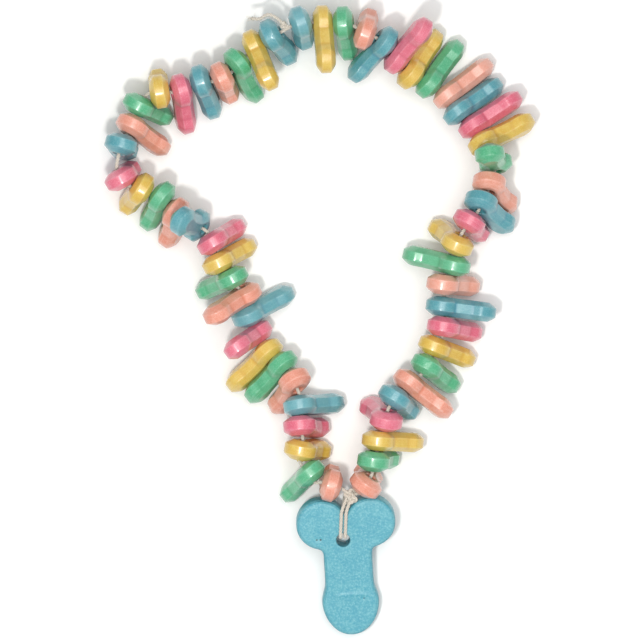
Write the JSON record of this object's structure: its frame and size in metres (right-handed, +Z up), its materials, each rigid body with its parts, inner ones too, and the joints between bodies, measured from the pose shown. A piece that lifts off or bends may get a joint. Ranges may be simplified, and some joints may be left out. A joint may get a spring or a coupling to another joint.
{
  "type": "candy necklace",
  "caption": "Closed loop of pressed sugar candy beads on a knotted string, with one larger flat blue candy pendant; novelty shapes, lying flat.",
  "frame": {"origin": "centre of the necklace's outline, on the surface it lies on", "axes": "+Z up from the surface, +Y from the pendant's tip towards the top of the loop, +X to the right as seen from above"},
  "size_m": [0.138, 0.2018, 0.0321],
  "materials": {
    "orange_candy": "pressed sugar, satin",
    "green_candy": "pressed sugar, satin",
    "yellow_candy": "pressed sugar, satin",
    "pink_candy": "pressed sugar, satin",
    "blue_candy": "pressed sugar, satin",
    "pendant_candy": "pressed sugar, matt, finely speckled",
    "string": "twisted elastic string"
  },
  "bodies": {
    "root": {"bead_01": "orange_candy", "bead_02": "green_candy", "bead_03": "yellow_candy", "bead_04": "pink_candy", "bead_05": "blue_candy", "bead_06": "orange_candy", "bead_07": "green_candy", "bead_08": "yellow_candy", "bead_09": "pink_candy", "bead_10": "blue_candy", "bead_11": "orange_candy", "bead_12": "green_candy", "bead_13": "yellow_candy", "bead_14": "pink_candy", "bead_15": "blue_candy", "bead_16": "orange_candy", "bead_17": "green_candy", "bead_18": "yellow_candy", "bead_19": "pink_candy", "bead_20": "blue_candy", "bead_21": "orange_candy", "bead_22": "green_candy", "bead_23": "yellow_candy", "bead_24": "pink_candy", "bead_25": "blue_candy", "bead_26": "orange_candy", "bead_27": "green_candy", "bead_28": "yellow_candy", "bead_29": "blue_candy", "bead_30": "blue_candy", "bead_31": "yellow_candy", "bead_32": "green_candy", "bead_33": "orange_candy", "bead_34": "blue_candy", "bead_35": "pink_candy", "bead_36": "yellow_candy", "bead_37": "green_candy", "bead_38": "orange_candy", "bead_39": "blue_candy", "bead_40": "pink_candy", "bead_41": "yellow_candy", "bead_42": "green_candy", "bead_43": "orange_candy", "bead_44": "blue_candy", "bead_45": "pink_candy", "bead_46": "yellow_candy", "bead_47": "green_candy", "bead_48": "orange_candy", "bead_49": "blue_candy", "bead_50": "pink_candy", "bead_51": "yellow_candy", "bead_52": "green_candy", "bead_53": "orange_candy", "bead_54": "blue_candy", "bead_55": "pink_candy", "bead_56": "yellow_candy", "bead_57": "green_candy", "bead_58": "orange_candy", "pendant": "pendant_candy", "string": "string"}
  },
  "joints": []
}
